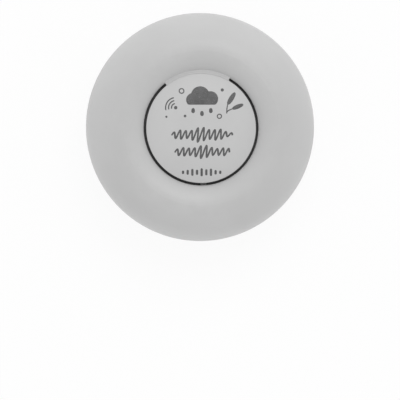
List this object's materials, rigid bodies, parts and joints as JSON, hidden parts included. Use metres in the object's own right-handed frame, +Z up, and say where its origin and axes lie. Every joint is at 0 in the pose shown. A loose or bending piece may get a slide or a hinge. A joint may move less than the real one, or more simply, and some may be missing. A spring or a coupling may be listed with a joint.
{
  "type": "white noise sound machine",
  "caption": "Round battery-powered sound machine: a puck-shaped case whose domed top is one large sprung button, with a charging socket and a downward speaker behind a ring of slots.",
  "frame": {"origin": "centre of the foot's contact face, under the centre of the round case", "axes": "+Z up through the centre of the press disc, -Y towards the charging socket, +X to the right for someone who faces the socket"},
  "size_m": [0.095, 0.095, 0.0457],
  "materials": {
    "case_plastic": "fine matt light grey",
    "disc_plastic": "fine matt light grey",
    "foot_rubber": "matt dark grey",
    "vent_cloth": "open black weave",
    "gap_film": "thin dark grey film",
    "inner_plastic": "moulded dark grey",
    "spring_steel": "rolled",
    "screw_steel": "zinc plated",
    "basket_steel": "black paint",
    "pot_steel": "zinc plated",
    "magnet_alloy": "nickel plated",
    "coil_copper": "lacquered copper winding",
    "cone_paper": "pressed black paper",
    "surround_rubber": "matt black",
    "spider_cloth": "resin-stiffened yellow cloth",
    "terminal_brass": "tinned brass on a fibre strip",
    "gasket_foam": "closed-cell foam",
    "lead_black": "black insulation",
    "lead_red": "red insulation",
    "connector_plastic": "natural nylon",
    "board_laminate": "green solder mask",
    "socket_steel": "black nickel plated",
    "tongue_plastic": "black moulding with contacts",
    "led_plastic": "milky",
    "light_pipe": "smoked",
    "print_ink": "thin pad print",
    "contact_gold": "gold plated",
    "switch_plastic": "black moulding",
    "chip_plastic": "black moulding",
    "ferrite": "dark grey ferrite",
    "can_aluminium": "drawn can",
    "chip_ceramic": "black glaze with tinned ends",
    "cell_foil": "laminated foil"
  },
  "bodies": {
    "case": {"top_cover": "case_plastic", "bottom_shell": "case_plastic", "foot_ring": "foot_rubber", "vent_cloth": "vent_cloth", "gap_skirt": "gap_film", "disc_leaf_spring": "spring_steel", "leaf_screws_cover": "screw_steel", "speaker_plate": "inner_plastic", "plate_screws": "screw_steel", "speaker_gasket": "gasket_foam", "speaker_basket": "basket_steel", "speaker_screws": "screw_steel", "speaker_pot": "pot_steel", "speaker_magnet": "magnet_alloy", "speaker_pole_plate": "pot_steel", "cone_surround": "surround_rubber", "coil_spider": "spider_cloth", "speaker_terminals": "terminal_brass", "speaker_lead_black": "lead_black", "speaker_lead_red": "lead_red", "speaker_header": "connector_plastic", "speaker_plug": "connector_plastic", "main_board": "board_laminate", "board_screws": "screw_steel", "socket_shell": "socket_steel", "socket_tongue": "tongue_plastic", "charge_led": "led_plastic", "led_light_pipe": "light_pipe", "switch_body": "switch_plastic", "sound_chip": "chip_plastic", "memory_chip": "chip_plastic", "amplifier_chip": "chip_plastic", "power_inductor": "ferrite", "board_capacitors": "can_aluminium", "chip_resistors": "chip_ceramic", "battery_cell": "cell_foil", "battery_tape": "gasket_foam", "battery_tray": "inner_plastic", "tray_screws": "screw_steel", "battery_lead_black": "lead_black", "battery_lead_red": "lead_red", "battery_header": "connector_plastic", "battery_plug": "connector_plastic"},
    "top_disc": {"press_disc": "disc_plastic", "leaf_screws_disc": "screw_steel"},
    "plunger": {"switch_plunger": "switch_plastic"},
    "cone": {"speaker_cone": "cone_paper", "dust_cap": "cone_paper", "voice_coil": "coil_copper"}
  },
  "joints": [
    {"name": "disc_hinge", "type": "hinge", "parent": "case", "child": "top_disc", "pos_m": [-0.0018, 0.02335, 0.03905], "axis": [0.9971, 0.0767, 0], "range_deg": [0, 0.7], "stiffness_Nm_per_rad": 4, "deforming": ["disc_leaf_spring"]},
    {"name": "switch_travel", "type": "slide", "parent": "case", "child": "plunger", "axis": [0, 0, -1], "range_m": [0, 0.0005]},
    {"name": "cone_travel", "type": "slide", "parent": "case", "child": "cone", "axis": [0, 0, 1], "range_m": [-0.0008, 0.0008], "stiffness_N_per_m": 1500, "deforming": ["cone_surround", "coil_spider"]}
  ],
  "couplings": [
    {"joint": "switch_travel", "follows": "disc_hinge", "m_per_rad": 0.04037}
  ]
}
